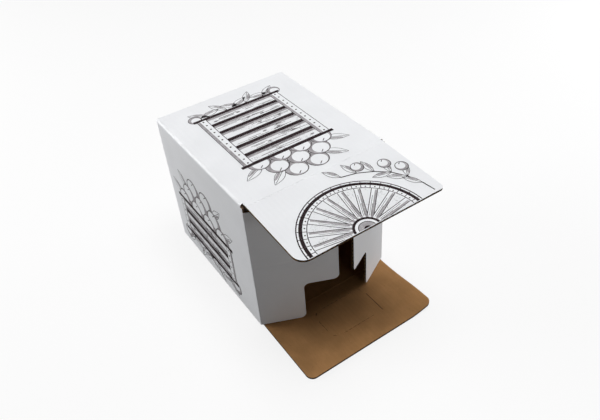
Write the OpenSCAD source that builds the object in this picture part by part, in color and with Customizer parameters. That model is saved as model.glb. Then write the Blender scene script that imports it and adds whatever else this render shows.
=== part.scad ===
// Bag-in-box: a white corrugated carton that lies on its side with its four
// mouth flaps open, and the empty folded bag with its tap at the back of it.
// Millimetres. X runs across the mouth, Y runs back into the carton, Z is up.
// The origin is at the middle of the base, on the surface that it stands on.

/* [Carton] */
// Outside width of the body
body_w = 214; // [205:1:250]
// Outside height of the body
body_h = 217; // [190:1:260]
// Outside length of the body, from the mouth to the closed end
body_l = 250; // [235:1:320]
// Thickness of the corrugated board
board_t = 3; // [2.2:0.1:3.4]
// Outside radius of the body's long folded corners
fold_r = 4; // [3.6:0.1:7]
// Width of the glued lap that closes the sleeve
lap_w = 30; // [15:1:45]
// Distance of the glued lap from the creases at both ends
lap_setback = 3; // [2:0.5:15]
// Gap between the two inner flaps of the closed end
end_gap = 12; // [2:1:40]
// Gap between the two outer flaps of the closed end
end_seam = 0.6; // [0.3:0.1:2]

/* [Outer flaps] */
// Length of the top flap and of the bottom flap, crease to free edge
outer_flap_l = 110; // [70:1:112]
// Distance of an outer flap's sides from the body's sides
outer_inset = 4; // [2:0.5:10]
// Radius of the top flap's free corner on the left
top_left_r = 15; // [4:1:30]
// Radius of the top flap's free corner on the right
top_right_r = 6; // [4:1:30]
// Radius of the bottom flap's two free corners
bottom_r = 10; // [4:1:30]
// Angle by which the top flap droops
top_droop = 3.2; // [0:0.1:6]

/* [Side flaps] */
// Length of the left side flap above the tap window
left_flap_l = 112; // [80:1:113]
// Length of the left side flap beside the tap window
left_low_l = 64; // [30:1:70]
// Radius of the left side flap's corners
left_corner_r = 8; // [2:0.5:9]
// Angle of the left side flap, from closed
left_open = 24; // [5:0.5:60]
// Gap between the side flaps' free edges when both are closed
meet_gap = 1.4; // [0.4:0.1:6]
// Length of the right side flap beside the tap window
right_low_l = 60; // [30:1:64]
// Radius of the right side flap's corners
right_corner_r = 5; // [2:0.5:9]
// Angle of the right side flap, from closed
right_open = 28; // [5:0.5:60]
// Height of the tap window above the surface that the carton stands on
window_h = 70; // [40:1:90]
// Clearance above and below the side flaps as they swing
swing_clear = 0.9; // [0.4:0.1:2]

/* [Creases] */
// Distance of a hinge line from the boards' outer faces
crease_lift = 0.2; // [0.1:0.05:0.4]
// Clearance of each crease's bevelled edge from its hinge line
crease_clear = 0.15; // [0.1:0.05:0.4]
// Distance between the creases of the side flaps and of the outer flaps
crease_step = 3.2; // [2.6:0.1:6]
// Depth of the corner slots behind the side flaps' creases
slot_depth = 2; // [1:0.5:6]

/* [Tap push-out in the bottom flap] */
// Width of the push-out
push_w = 83; // [50:1:90]
// Distance of the push-out's near edge from the crease
push_y0 = 24; // [15:1:40]
// Distance of the push-out's far edge from the crease
push_y1 = 76; // [55:1:90]
// Distance of the push-out's middle to the right of the flap's middle
push_x = 1.5; // [-15:0.5:15]
// Radius of the push-out's corners
push_r = 12; // [4:1:20]
// Length of one cut of the perforation
perf_cut = 5; // [3:0.5:8]
// Length of one bridge of the perforation
perf_tie = 2.5; // [1:0.5:4]
// Width of the perforation's cuts
perf_w = 0.8; // [0.4:0.1:1.5]
// Length of the slit at the push-out's right edge
slit_l = 37; // [20:1:45]

/* [Bag] */
// Width of the folded bag between its seams
bag_w = 184; // [120:1:186]
// Depth of the folded bag, front to back
bag_l = 150; // [90:1:158]
// Thickness of one folded layer of the bag
ply_t = 6; // [3:0.5:10]
// Gap between folded layers of the bag
ply_gap = 1; // [0.5:0.5:3]
// Width of the bag's sealed side seams
seam_w = 6; // [3:0.5:6]
// Thickness of the bag's sealed side seams
seam_t = 1.2; // [0.6:0.1:2]
// Distance of the folded bag from the closed end
bag_back = 4; // [1:1:12]

/* [Gland] */
// Diameter of the gland's flange on the bag
flange_d = 46; // [38:1:60]
// Thickness of the gland's flange
flange_t = 1.6; // [1:0.1:3]
// Outside diameter of the gland's neck
neck_d = 29; // [28:0.5:32]
// Height of the gland above the bag
neck_h = 13; // [11.5:0.5:20]
// Diameter of the gland's two handling rings
ring_d = 35; // [33:0.5:38]
// Thickness of a handling ring
ring_t = 1.6; // [1:0.1:2]
// Distance of the gland from the folded bag's front edge
gland_y = 60; // [40:1:80]

/* [Tap] */
// Outside diameter of the tap's barrel, which seats in the gland's neck
barrel_d = 25; // [20:0.5:26]
// Length of the barrel inside the gland's neck
barrel_l = 10; // [6:0.5:11]
// Clearance round the barrel in the neck
barrel_clear = 0.1; // [0.05:0.05:0.3]
// Diameter of the flow bore through the barrel and the plug
flow_d = 10; // [6:0.5:11]
// Thickness of the gasket under the tap's collar
gasket_t = 1.4; // [0.8:0.1:3]
// Diameter of the tap's collar
collar_d = 33; // [31:0.5:38]
// Thickness of the tap's collar
collar_t = 2; // [1.2:0.1:4]
// Outside diameter of the tap's valve housing
housing_d = 21; // [20:0.5:24]
// Diameter of the plug that turns in the valve housing
plug_d = 15.6; // [13:0.2:16]
// Clearance round the plug
plug_clear = 0.2; // [0.1:0.05:0.4]
// Length of the valve housing
housing_l = 32; // [26:1:40]
// Height of the housing's middle above the collar
housing_z = 11.5; // [11:0.5:16]
// Outside diameter of the spout
spout_d = 15; // [13:0.5:18]
// Length of the spout in front of the valve housing
spout_l = 16; // [6:1:25]
// Wall thickness of the tap's tubes and of the step behind its spout
tap_wall = 2; // [1.2:0.1:3]
// Reach of the tap's finger wings from its middle
wing_l = 24; // [18:1:32]
// Depth of the finger wings, front to back
wing_w = 14; // [8:1:18]
// Thickness of the finger wings and of the lever
wing_t = 3; // [2:0.1:4]
// Diameter of the port in the plug's side
port_d = 9; // [6:0.5:11]
// Length of the tap's lever from its turning axis
lever_l = 25; // [18:1:34]
// Width of the tap's lever
lever_w = 9; // [6:0.5:12]
// Width of the snap bead that holds the plug in
bead_w = 1.2; // [0.8:0.1:2]
// Height of the snap bead above the plug
bead_h = 0.6; // [0.3:0.1:0.8]

/* [Hidden] */
$fn = 48;
// How far pieces of one solid sink into each other
eps = 0.01;
// How far a cutting shape reaches past what it cuts
over = 20;

board_white = [0.90, 0.90, 0.91];
film_grey = [0.80, 0.82, 0.84];
tap_white = [0.93, 0.93, 0.90];
gasket_grey = [0.30, 0.30, 0.31];
lever_red = [0.60, 0.12, 0.12];

mouth_y = -body_l / 2;
side_crease_y = mouth_y + crease_step;
end_y = body_l / 2;
inner_end_y = end_y - 2 * board_t;
inner_w = body_w - 2 * board_t;
outer_flap_w = body_w - 2 * outer_inset;
right_flap_l = body_w + 2 * crease_lift - left_flap_l - meet_gap;
side_z0 = board_t + swing_clear;
top_flap_under = body_h - board_t / cos(top_droop) - outer_flap_l * tan(top_droop);
side_z1 = top_flap_under - swing_clear;

pitch = ply_t + ply_gap;
bag_top = board_t + 2 * pitch + ply_t;
bend_r = (2 * ply_t + ply_gap) / 2;
bag_y1 = inner_end_y - bag_back;
bag_y0 = bag_y1 - bag_l;
tap_y = bag_y0 + gland_y;
rim_z = bag_top + neck_h;
collar_z = rim_z + gasket_t;
axis_z = collar_z + collar_t + housing_z;
neck_bore = barrel_d + 2 * barrel_clear;
housing_bore = plug_d + 2 * plug_clear;
housing_y0 = -housing_l / 2;
housing_y1 = housing_l / 2;
plug_y0 = housing_y0 + tap_wall + plug_clear;
bead_y = housing_y1 - 3 * bead_w;

// A plane shape in X and Z, drawn back along Y from y0 to y1
module along_y(y0, y1) {
    translate([0, y1, 0]) rotate([90, 0, 0]) linear_extrude(y1 - y0) children();
}

// A plane shape in Y and Z, drawn across X from x0 to x1
module along_x(x0, x1) {
    translate([x0, 0, 0]) rotate([90, 0, 90]) linear_extrude(x1 - x0) children();
}

// A rectangle from its lower left corner, with all corners round
module round_rect(w, h, r) {
    translate([r, 0]) square([w - 2 * r, h]);
    translate([0, r]) square([w, h - 2 * r]);
    for (x = [r, w - r], y = [r, h - r]) translate([x, y]) circle(r);
}

// A rectangle that starts at x = 0, with its two far corners round: r at y = 0
// and top_r at y = h
module tongue(w, h, r, top_r) {
    square([w - max(r, top_r), h]);
    translate([0, r]) square([w, h - r - top_r]);
    square([w - r, r + eps]);
    translate([0, h - top_r - eps]) square([w - top_r, top_r + eps]);
    translate([w - r, r]) circle(r);
    translate([w - top_r, h - top_r]) circle(top_r);
}

// Section of the sleeve's outer or inner face, in X and Z
module sleeve_face(inset, r) {
    translate([inset - body_w / 2, inset])
        round_rect(body_w - 2 * inset, body_h - 2 * inset, r);
}

// The sleeve with the inner flaps of its closed end folded in
module sleeve() {
    side_end = end_y - board_t;
    intersection() {
        along_y(mouth_y, side_end) sleeve_face(0, fold_r);
        translate([-body_w / 2, side_end, 0]) rotate([0, 0, -90])
            linear_extrude(body_h) sleeve_plan();
    }
}

// Plan of the sleeve from its closed end, where the inner flaps' folds are round
module sleeve_plan() {
    r = fold_r;
    translate([0, r]) square([body_l, body_w - 2 * r]);
    translate([r, 0]) square([body_l - r, body_w]);
    for (y = [r, body_w - r]) translate([r, y]) circle(r);
}

// The outer flaps of the closed end, folded over the inner ones
module end_cover() {
    flap_from = end_y - board_t - fold_r;
    intersection() {
        along_x(-outer_flap_w / 2, outer_flap_w / 2)
            translate([mouth_y, 0]) tongue(body_l, body_h, fold_r, fold_r);
        translate([-body_w / 2, flap_from, -over]) cube([body_w, over, body_h + 2 * over]);
    }
}

// What the bevel of a crease removes from a board, from its hinge line on.
// The hinge line is at the plane's origin, the board runs along +x and its
// outer face is crease_lift above the hinge line, on the +y side.
module crease_bevel() {
    far = board_t + crease_lift + eps;
    polygon([[-over, -eps], [crease_clear, -eps], [crease_clear + far, far], [-over, far]]);
}

// The four corner slots between neighbouring flaps at the mouth
module corner_slots() {
    for (x = [-1, 1], z = [0, body_h])
        translate([x * (outer_flap_w / 2 + over / 2), side_crease_y + slot_depth - over / 2, z])
            cube([over, over, 2 * (board_t + swing_clear)], center = true);
}

// The glued lap inside the right wall, under the top panel
module glue_lap() {
    lap_y0 = side_crease_y + board_t + lap_setback;
    lap_y1 = inner_end_y - lap_setback;
    x = inner_w / 2 - board_t;
    translate([x, lap_y0, body_h - board_t - lap_w]) cube([board_t + eps, lap_y1 - lap_y0, lap_w + eps]);
}

module carton_body() {
    hinge_side_y = side_crease_y - crease_lift;
    hinge_outer_y = mouth_y - crease_lift;
    flap_x = outer_flap_w / 2 + eps;
    color(board_white) difference() {
        union() {
            difference() {
                union() {
                    sleeve();
                    end_cover();
                }
                along_y(mouth_y - over, inner_end_y) sleeve_face(board_t, fold_r - board_t);
            }
            glue_lap();
        }
        corner_slots();
        // bevels of the side walls' creases
        for (m = [0, 1]) mirror([m, 0, 0])
            translate([-body_w / 2 - crease_lift, hinge_side_y, board_t]) rotate([0, 0, 90])
                mirror([0, 1, 0]) linear_extrude(body_h - 2 * board_t) crease_bevel();
        // bevels of the top and bottom panels' creases
        along_x(-flap_x, flap_x) {
            translate([hinge_outer_y, body_h + crease_lift]) mirror([0, 1]) crease_bevel();
            translate([hinge_outer_y, -crease_lift]) crease_bevel();
        }
        // gap between the inner flaps and seam between the outer flaps of the closed end
        translate([-end_gap / 2, inner_end_y - eps, board_t])
            cube([end_gap, board_t + eps, body_h - 2 * board_t]);
        translate([-body_w / 2, end_y - board_t, (body_h - end_seam) / 2])
            cube([body_w, over, end_seam]);
    }
}

// A flap at its own hinge line: the line is along Z through the origin, the
// board runs along +X and its outer face is crease_lift from the line in Y.
// The children draw the flap's outline, with its crease at x = 0.
module hinged_flap() {
    difference() {
        translate([0, crease_lift, 0]) rotate([90, 0, 0]) mirror([0, 0, 1])
            linear_extrude(board_t) children();
        translate([0, 0, -over]) linear_extrude(body_w + body_h + 2 * over) crease_bevel();
    }
}

// Outline of an outer flap: x from the crease, y from one of its sides, with a
// corner radius for that side and one for the other
module outer_outline(r, far_r) {
    tongue(outer_flap_l - crease_lift, outer_flap_w, r, far_r);
}

// Outline of a side flap, which leaves the tap window free
module side_outline(l, low_l, r) {
    low_h = window_h - side_z0;
    translate([0, window_h]) tongue(l, side_z1 - window_h, r, r);
    translate([0, side_z0]) {
        square([low_l - r, low_h]);
        translate([0, r]) square([low_l, low_h]);
        translate([low_l - r, r]) circle(r);
    }
    difference() {
        translate([low_l, window_h - r]) square([r, 2 * r]);
        translate([low_l + r, window_h - r]) circle(r);
    }
}

// The perforation of the tap push-out, with a slit for its right side:
// x from the crease, y from the push-out's middle and to the left
module perforation() {
    x0 = push_y0;
    x1 = push_y1;
    y0 = -push_w / 2;
    y1 = push_w / 2;
    step = perf_cut + perf_tie;
    n_side = floor((x1 - x0 - 2 * push_r) / step);
    n_front = floor((y1 - y0 - 2 * push_r) / step);
    side0 = (x0 + x1 - n_side * step + perf_tie) / 2;
    front0 = (y0 + y1 - n_front * step + perf_tie) / 2;
    for (i = [0 : n_side - 1])
        translate([side0 + i * step, y1 - perf_w / 2]) square([perf_cut, perf_w]);
    for (i = [0 : n_front - 1], x = [x0, x1])
        translate([x - perf_w / 2, front0 + i * step]) square([perf_w, perf_cut]);
    for (x = [x0, x1], y = [y0, y1]) perforated_corner(x, y);
    translate([x1 - slit_l, y0 - perf_w / 2]) square([slit_l, perf_w]);
}

// One short cut in the middle of a round corner of the push-out
module perforated_corner(x, y) {
    sx = x == push_y0 ? 1 : -1;
    sy = y < 0 ? 1 : -1;
    slit_corner = sx < 0 && sy > 0;
    cx = x + sx * push_r;
    cy = y + sy * push_r;
    mid = atan2(-sy, -sx);
    half_angle = min(30, perf_cut / push_r * 90 / PI);
    if (!slit_corner) translate([cx, cy]) intersection() {
        difference() {
            circle(push_r + perf_w / 2);
            circle(push_r - perf_w / 2);
        }
        polygon([[0, 0], [2 * push_r * cos(mid - half_angle), 2 * push_r * sin(mid - half_angle)],
                 [2 * push_r * cos(mid + half_angle), 2 * push_r * sin(mid + half_angle)]]);
    }
}

// Puts a flap drawn by hinged_flap on the mouth's top edge
module at_top_edge() {
    translate([-outer_flap_w / 2, mouth_y - crease_lift, body_h + crease_lift])
        rotate([top_droop, 0, 0]) rotate([0, 90, 0]) rotate([0, 0, -90]) children();
}

// Puts a flap drawn by hinged_flap on the mouth's bottom edge
module at_bottom_edge() {
    translate([outer_flap_w / 2, mouth_y - crease_lift, -crease_lift])
        rotate([0, -90, 0]) rotate([0, 0, -90]) children();
}

module top_flap() {
    color(board_white) at_top_edge() hinged_flap() outer_outline(top_left_r, top_right_r);
}

module bottom_flap() {
    color(board_white) at_bottom_edge() hinged_flap() difference() {
        outer_outline(bottom_r, bottom_r);
        translate([-crease_lift, outer_flap_w / 2 - push_x]) perforation();
    }
}

module left_side_flap() {
    color(board_white) translate([-body_w / 2 - crease_lift, side_crease_y - crease_lift, 0])
        rotate([0, 0, -left_open]) hinged_flap()
            side_outline(left_flap_l, left_low_l, left_corner_r);
}

module right_side_flap() {
    color(board_white) mirror([1, 0, 0])
        translate([-body_w / 2 - crease_lift, side_crease_y - crease_lift, 0])
            rotate([0, 0, -right_open]) hinged_flap()
                side_outline(right_flap_l, right_low_l, right_corner_r);
}

// Section of the folded bag in Y and Z: three layers of the given thickness
// on the same middle line, joined by a bend at the back and one at the front
module folded_section(t) {
    low = ply_t / 2;
    for (i = [0 : 2]) translate([bag_y0 + bend_r, low + i * pitch - t / 2])
        square([bag_l - 2 * bend_r, t]);
    translate([bag_y0, low - t / 2]) square([bend_r + eps, t]);
    translate([bag_y1 - bend_r - eps, low + 2 * pitch - t / 2]) square([bend_r + eps, t]);
    bend(bag_y1 - bend_r, low + pitch / 2, 0, t);
    bend(bag_y0 + bend_r, low + 3 * pitch / 2, 180, t);
}

// A half ring that joins two layers
module bend(y, z, turn, t) {
    translate([y, z]) rotate(turn) intersection() {
        difference() {
            circle((pitch + t) / 2);
            circle((pitch - t) / 2);
        }
        translate([-eps, -2 * pitch]) square([4 * pitch, 4 * pitch]);
    }
}

module bag() {
    seam_x = bag_w / 2 + seam_w;
    color(film_grey) translate([0, 0, board_t]) {
        along_x(-bag_w / 2, bag_w / 2) folded_section(ply_t);
        along_x(-seam_x, seam_x) folded_section(seam_t);
    }
}

module bag_gland() {
    color(tap_white) translate([0, tap_y, bag_top]) difference() {
        union() {
            cylinder(d = flange_d, h = flange_t);
            cylinder(d = neck_d, h = neck_h);
            translate([0, 0, (neck_h - ring_t) / 2]) cylinder(d = ring_d, h = ring_t);
            translate([0, 0, neck_h - ring_t]) cylinder(d = ring_d, h = ring_t);
        }
        translate([0, 0, -over]) cylinder(d = neck_bore, h = neck_h + 2 * over);
    }
}

module tap_gasket() {
    color(gasket_grey) translate([0, tap_y, rim_z]) difference() {
        cylinder(d = neck_d, h = gasket_t);
        translate([0, 0, -over]) cylinder(d = neck_bore, h = gasket_t + 2 * over);
    }
}

// A cylinder that lies along Y from y0 to y1, round the plug's axis
module lying(d, y0, y1) {
    translate([0, y1, 0]) rotate([90, 0, 0]) cylinder(d = d, h = y1 - y0);
}

module tap_body() {
    down = axis_z - collar_z;
    color(tap_white) translate([0, tap_y, axis_z]) difference() {
        union() {
            lying(housing_d, housing_y0, housing_y1);
            lying(spout_d, housing_y0 - spout_l, housing_y0 + eps);
            translate([0, 0, -down]) cylinder(d = collar_d, h = collar_t);
            translate([0, 0, -down]) cylinder(d = housing_d - 2 * tap_wall, h = down);
            translate([0, 0, -down - gasket_t - barrel_l])
                cylinder(d = barrel_d, h = barrel_l + gasket_t + eps);
            finger_wings();
        }
        lying(housing_bore, housing_y0 + tap_wall, housing_y1 + over);
        lying(flow_d, housing_y0 - spout_l - over, housing_y1);
        lying(plug_d + 2 * bead_h + 2 * plug_clear, bead_y - plug_clear, bead_y + bead_w + plug_clear);
        translate([0, 0, -down - gasket_t - barrel_l - over])
            cylinder(d = flow_d, h = down + gasket_t + barrel_l + over);
    }
}

// Two flat grips beside the valve housing
module finger_wings() {
    difference() {
        translate([-wing_l, -wing_w / 2, -wing_t / 2]) linear_extrude(wing_t)
            round_rect(2 * wing_l, wing_w, wing_w / 4);
        lying(housing_bore + tap_wall, -wing_w, wing_w);
    }
}

module tap_plug() {
    hub_y0 = housing_y1 + plug_clear;
    color(lever_red) translate([0, tap_y, axis_z]) difference() {
        union() {
            lying(plug_d, plug_y0, hub_y0 + eps);
            lying(plug_d + 2 * bead_h, bead_y, bead_y + bead_w);
            lying(housing_d, hub_y0, hub_y0 + wing_t);
            translate([0, hub_y0 + wing_t, 0]) rotate([90, 0, 0]) linear_extrude(wing_t) lever_outline();
        }
        lying(flow_d, plug_y0 - over, flow_d / 2);
        rotate([0, 90, 0]) cylinder(d = port_d, h = plug_d);
    }
}

// Outline of the lever in X and Z: it points away from the plug's side port
module lever_outline() {
    translate([-lever_l + lever_w / 2, -lever_w / 2]) square([lever_l - lever_w / 2, lever_w]);
    translate([-lever_l + lever_w / 2, 0]) circle(d = lever_w);
}

carton_body();
top_flap();
bottom_flap();
left_side_flap();
right_side_flap();
bag();
bag_gland();
tap_gasket();
tap_body();
tap_plug();
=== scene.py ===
"""A white corrugated carton on its side, with its four mouth flaps open and an empty film bag inside."""

import math
import random

import bmesh
import bpy
from mathutils import Matrix, Vector


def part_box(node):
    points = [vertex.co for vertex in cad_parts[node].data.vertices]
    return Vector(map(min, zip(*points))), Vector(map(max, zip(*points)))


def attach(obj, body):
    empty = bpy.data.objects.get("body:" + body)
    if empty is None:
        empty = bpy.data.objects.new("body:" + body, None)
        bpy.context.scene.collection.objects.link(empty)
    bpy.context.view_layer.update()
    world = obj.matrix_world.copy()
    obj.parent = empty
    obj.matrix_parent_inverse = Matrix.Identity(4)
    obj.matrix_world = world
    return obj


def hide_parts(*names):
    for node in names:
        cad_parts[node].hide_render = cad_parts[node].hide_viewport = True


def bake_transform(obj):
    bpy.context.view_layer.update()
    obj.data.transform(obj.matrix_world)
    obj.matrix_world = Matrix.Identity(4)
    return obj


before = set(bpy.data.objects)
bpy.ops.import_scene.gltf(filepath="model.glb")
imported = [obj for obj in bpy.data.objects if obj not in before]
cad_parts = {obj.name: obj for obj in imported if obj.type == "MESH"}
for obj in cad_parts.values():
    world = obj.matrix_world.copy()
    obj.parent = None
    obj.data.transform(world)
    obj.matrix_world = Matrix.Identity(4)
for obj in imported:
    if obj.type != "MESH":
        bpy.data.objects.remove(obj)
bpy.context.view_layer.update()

bl_info = {
    "name": "Bag-in-box carton",
    "version": (1, 0, 0),
    "blender": (4, 5, 0),
    "location": "3D View > Sidebar > Carton",
    "description": "Builds the boards, print, film bag and tap of an open bag-in-box carton",
    "category": "Object",
}

BODY_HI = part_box("carton_body")[1]
BAG_LO, BAG_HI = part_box("bag")
WHITE, KRAFT, EDGE = 0, 1, 2  # a board's slots
INK, TINT, PAPER, SPECKLE = 0, 1, 2, 3  # a print's slots
LAYER = 0.00002  # one step of a print's stack
PRINT_LIFT = 0.00005  # height of a print over its board
CURL = 0.006  # height of the bottom flap's bent corner
LINE, THIN = 0.0009, 0.0007  # widths of the print's lines
NEAR = 1e-5  # distance below which two places are the same
ALONG = 0.9  # share of a direction above which it runs along an axis
CORNER_FOLD = 0.5  # fold angle above which a crease is a corner
FLOOR_HALF, FLOOR_HEIGHT = 4, -0.0003
FLOOR_TONES = (0.2, 0.88)  # how pale the floor is to other rays and to the camera
FLOOR_GLOW = 0.82  # share of the floor's own light that the camera sees
WORLD_LIGHT = (0.02, 1.0)  # the world's strength to other rays and to those that see it
AIM = (0, 0, 0.1)  # where the lamps point
LAMPS = (  # name, place, size and power
    ("high_lamp", (1.6, 0.4, 2.4), 2.0, 7),
    ("overhead_lamp", (0.2, 0.1, 2.2), 1.0, 16.5),
    ("over_front_lamp", (0.3, -0.5, 2.2), 0.8, 15),
    ("back_lamp", (-1.6, 1.6, 0.7), 1.2, 43),
    ("side_lamp", (1.6, -0.2, 0.25), 0.5, 12.5),
    ("front_lamp", (0.3, -1.8, 0.2), 0.8, 5.2),
)
CAMERA_AT = (-0.3270, -0.619092, 0.663031)
CAMERA_AXES = ((0.82567, -0.56026, -0.06624), (0.40614, 0.50880, 0.75906), (-0.39157, -0.65363, 0.64764))
LENS, SENSOR = 36.548, 36


# Settings


def length_setting(name, description, default):
    return bpy.props.FloatProperty(name=name, description=description, default=default, unit="LENGTH")


def angle_setting(name, description, degrees):
    return bpy.props.FloatProperty(
        name=name, description=description, default=math.radians(degrees), unit="ROTATION")


def colour_setting(name, description, default):
    return bpy.props.FloatVectorProperty(
        name=name, description=description, size=3, subtype="COLOR", default=default, min=0, max=1)


class CartonSizes(bpy.types.PropertyGroup):
    board: length_setting("Board", "Thickness of the corrugated board", 0.003)
    liner: length_setting("Liner", "Thickness of each of the board's two liners", 0.00035)
    flute: length_setting("Flute pitch", "Distance between two flutes", 0.0065)
    fold: length_setting("Fold radius", "Outside radius of the folded corners", 0.004)
    lift: length_setting("Hinge lift", "Distance of a hinge line from the outer faces", 0.0002)
    mouth: length_setting("Mouth", "Where the stiff walls end, behind the creases", -0.1175)
    side_crease: length_setting("Side creases", "Where the side flaps' hinge lines are", -0.122)
    outer_crease: length_setting("Outer creases", "Where the top and bottom hinge lines are", -0.1252)
    flap_start: length_setting("Flap start", "Distance of a stiff flap from its hinge line", 0.005)
    outer_half: length_setting("Half flap width", "Half of the top and bottom flaps' width", 0.103)
    outer_length: length_setting("Outer flap length", "From hinge line to free edge", 0.1098)
    droop: angle_setting("Droop", "Angle of the top flap below level", 3.2)
    side_low: length_setting("Side flap foot", "Lowest height of the side flaps", 0.0039)
    side_top: length_setting("Side flap top", "Highest height of the side flaps", 0.20695)
    window: length_setting("Window", "Height of the tap window", 0.07)
    left_long: length_setting("Left flap", "Length of the left flap above the window", 0.112)
    left_short: length_setting("Left flap, low", "Length of the left flap beside the window", 0.064)
    left_open: angle_setting("Left opening", "Angle of the left flap from closed", 24)
    right_long: length_setting("Right flap", "Length of the right flap above the window", 0.101)
    right_short: length_setting("Right flap, low", "Length of the right flap beside the window", 0.06)
    right_open: angle_setting("Right opening", "Angle of the right flap from closed", 28)


class CartonColours(bpy.types.PropertyGroup):
    white: colour_setting("White liner", "Colour of the bleached outer liner", (0.84, 0.85, 0.87))
    kraft: colour_setting("Kraft liner", "Colour of the brown inner liner", (0.43, 0.226, 0.09))
    # The fluting's dark brown is partly its own tone and partly painted shade of the shadowed cut edges.
    core: colour_setting("Fluting", "Colour of the fluting and cut edges", (0.075, 0.044, 0.022))
    ink: colour_setting("Dark ink", "Colour of the print's lines", (0.017, 0.009, 0.0105))
    tint: colour_setting("Grey ink", "Colour of the print's shading", (0.34, 0.325, 0.335))
    film: colour_setting("Film", "Colour of the bag's film", (0.58, 0.6, 0.63))
    tap: colour_setting("Tap", "Colour of the gland and the tap", (0.82, 0.82, 0.78))
    lever: colour_setting("Lever", "Colour of the tap's plug and lever", (0.42, 0.02, 0.02))


def sizes():
    return bpy.context.scene.carton_sizes


def colours():
    return bpy.context.scene.carton_colours


# Modelling

def select_none():
    """Leaves edit mode with nothing selected."""
    if bpy.context.object and bpy.context.object.mode != "OBJECT":
        bpy.ops.object.mode_set(mode="OBJECT")
    bpy.ops.object.select_all(action="DESELECT")


def only(obj):
    select_none()
    obj.select_set(True)
    bpy.context.view_layer.objects.active = obj


def edit(obj):
    only(obj)
    bpy.ops.object.mode_set(mode="EDIT")


def done():
    bpy.ops.object.mode_set(mode="OBJECT")


def freeze(obj):
    """Puts the object's place, turn and scale into its mesh."""
    only(obj)
    bpy.ops.object.transform_apply(location=True, rotation=True, scale=True)
    return obj


def place(obj, matrix):
    obj.matrix_world = matrix
    return freeze(obj)


def named(name):
    obj = bpy.context.object
    obj.name = obj.data.name = name
    return obj


def block(name, low, high):
    """A box between two corners."""
    low, high = Vector(low), Vector(high)
    select_none()
    bpy.ops.mesh.primitive_cube_add(size=1, location=(low + high) / 2, scale=high - low)
    return freeze(named(name))


def sheet(name, low, high, height=0.0):
    """A flat sheet that faces up, between two corners in X and Y."""
    select_none()
    bpy.ops.mesh.primitive_plane_add(
        size=1, location=((low[0] + high[0]) / 2, (low[1] + high[1]) / 2, height))
    bpy.context.object.scale = (high[0] - low[0], high[1] - low[1], 1)
    return freeze(named(name))


def pick(kind, test):
    """In edit mode, selects the vertices, edges or faces for which test(middle, direction) is true."""
    mesh = bpy.context.object.data
    bpy.ops.mesh.select_mode(type=kind)
    bpy.ops.mesh.select_all(action="DESELECT")
    bm = bmesh.from_edit_mesh(mesh)
    if kind == "VERT":
        for v in bm.verts:
            v.select = test(v.co, v.normal)
    elif kind == "EDGE":
        for e in bm.edges:
            a, b = (v.co for v in e.verts)
            e.select = test((a + b) / 2, (b - a).normalized())
    else:
        for f in bm.faces:
            f.select = test(f.calc_center_median(), f.normal)
    bm.select_flush_mode()
    bmesh.update_edit_mesh(mesh)


def cut_at(axis, places):
    """In edit mode, cuts the mesh by planes across an axis."""
    for where in places:
        point, normal = [0, 0, 0], [0, 0, 0]
        point[axis], normal[axis] = where, 1
        bpy.ops.mesh.select_all(action="SELECT")
        bpy.ops.mesh.bisect(plane_co=point, plane_no=normal)


def steps(start, stop, count):
    """Places that share a span in equal steps, without its ends."""
    return [start + (stop - start) * i / count for i in range(1, count)]


def modifier(obj, kind, **values):
    """Adds a modifier, sets it and applies it."""
    only(obj)
    mod = obj.modifiers.new(kind.title(), kind)
    for key, value in values.items():
        setattr(mod, key, value)
    bpy.ops.object.modifier_apply(modifier=mod.name)


def boolean(obj, other, operation):
    modifier(obj, "BOOLEAN", object=other, operation=operation, solver="MANIFOLD")
    bpy.data.objects.remove(other)


def push(obj, axis, distance, weight):
    """Moves the mesh along an axis by distance times weight(place), with Displace on a vertex group."""
    group = obj.vertex_groups.new(name="push")
    for v in obj.data.vertices:
        share = weight(v.co)
        if share > 0:
            group.add([v.index], min(1.0, share), "REPLACE")
    modifier(obj, "DISPLACE", direction=axis, strength=distance, mid_level=0, vertex_group="push")
    obj.vertex_groups.clear()


def join(objs, name):
    select_none()
    for obj in objs:
        obj.select_set(True)
    bpy.context.view_layer.objects.active = objs[0]
    bpy.ops.object.join()
    return named(name)


def smooth(obj, angle=35):
    only(obj)
    bpy.ops.object.shade_smooth_by_angle(angle=math.radians(angle))


def ramp(value, low, high):
    """0 up to low and 1 from high on, with a smooth rise between."""
    t = max(0.0, min(1.0, (value - low) / (high - low)))
    return t * t * (3 - 2 * t)


def corner_curl(place):
    """How far up the bottom flap's front right corner is bent, as a share of the curl."""
    return ramp(place.x, 0.066, 0.106) * ramp(-place.y, 0.14, 0.22)


# Finishes


def feed(tree, target, inputs):
    """Sets a shader node's inputs, each to a number, a colour or another node's output."""
    for key, value in inputs.items():
        if isinstance(value, bpy.types.NodeSocket):
            tree.links.new(value, target.inputs[key])
        else:
            target.inputs[key].default_value = value


def node(tree, kind, inputs=None, **values):
    made = tree.nodes.new("ShaderNode" + kind)
    for key, value in values.items():
        setattr(made, key, value)
    feed(tree, made, inputs or {})
    return made


def material(name):
    """Makes a material and gives its tree, its principled shader and its object coordinates."""
    made = bpy.data.materials.get(name) or bpy.data.materials.new(name)
    made.use_nodes = True
    tree = made.node_tree
    tree.nodes.clear()
    shader = node(tree, "BsdfPrincipled")
    node(tree, "OutputMaterial", {0: shader.outputs[0]})
    return tree, shader, node(tree, "TexCoord").outputs["Object"]


def surface(tree, shader, tone, rough, gloss=0.5, bump=None):
    """Feeds a shader its colour, roughness, gloss and bump, which is (strength, distance, height)."""
    feed(tree, shader, {"Base Color": tone, "Roughness": rough, "Specular IOR Level": gloss})
    if bump:
        made = node(tree, "Bump", dict(zip(("Strength", "Distance", "Height"), bump)))
        feed(tree, shader, {"Normal": made.outputs[0]})


def maths(tree, operation, a, b=0.0, clamp=False):
    return node(tree, "Math", {0: a, 1: b}, operation=operation, use_clamp=clamp).outputs[0]


def times(tree, a, b):
    return maths(tree, "MULTIPLY", a, b)


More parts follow.
